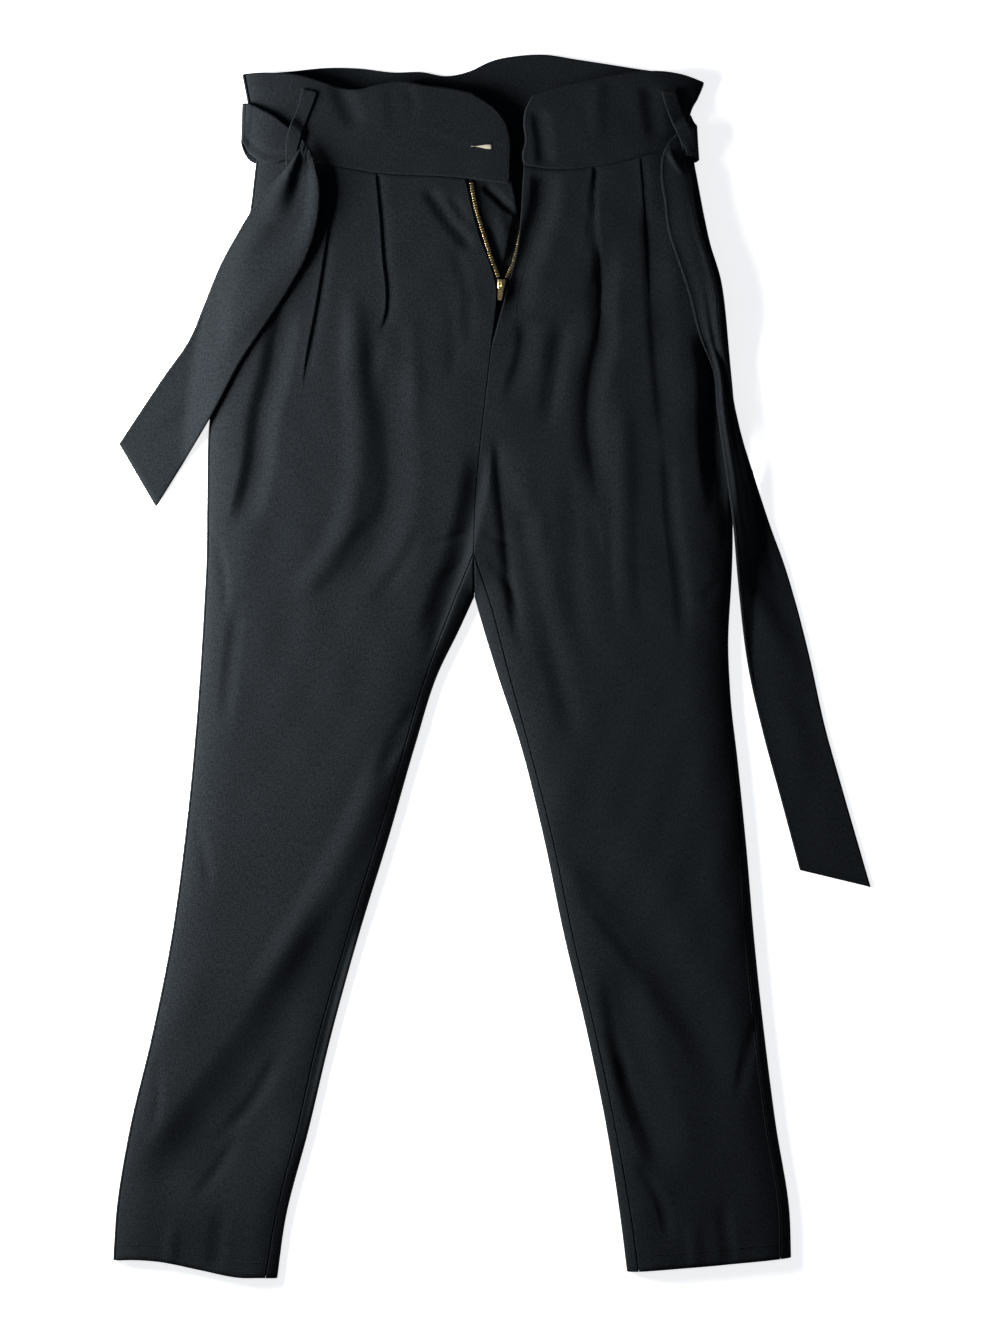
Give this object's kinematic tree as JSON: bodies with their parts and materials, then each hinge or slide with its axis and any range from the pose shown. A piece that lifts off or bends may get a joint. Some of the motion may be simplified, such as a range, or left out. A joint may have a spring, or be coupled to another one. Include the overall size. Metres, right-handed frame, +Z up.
{
  "type": "paperbag waist trousers",
  "caption": "Woven trousers with a folded-over waist, pleated front, open zip fly and a loose tie belt through loops, laid flat front up.",
  "frame": {"origin": "middle of the box on the surface that the trousers lie on", "axes": "+Y towards the waist, +X to the right across the front, +Z up out of the front"},
  "size_m": [0.646, 1.043, 0.0233],
  "materials": {
    "cloth": "matt black woven crepe",
    "tape": "black woven zip tape",
    "zip_metal": "pale gold, polished"
  },
  "bodies": {
    "trousers": {"back_left": "cloth", "back_right": "cloth", "front_left": "cloth", "front_right": "cloth", "waistband_back": "cloth", "waistband_front_left": "cloth", "waistband_front_right": "cloth", "fly_shield": "cloth", "zip_tape_left": "tape", "zip_tape_right": "tape", "zip_slider": "zip_metal", "belt_back": "cloth", "belt_side_left": "cloth", "belt_side_right": "cloth", "belt_tail_left": "cloth", "belt_tail_right": "cloth", "belt_loop_left": "cloth", "belt_loop_right": "cloth"},
    "pull_tab": {"zip_pull": "zip_metal"}
  },
  "joints": [
    {"name": "pull_hinge", "type": "hinge", "parent": "trousers", "child": "pull_tab", "pos_m": [0.008, 0.32411, 0.01704], "axis": [-0.9945, 0.1045, 0], "range_deg": [0, 165]}
  ]
}
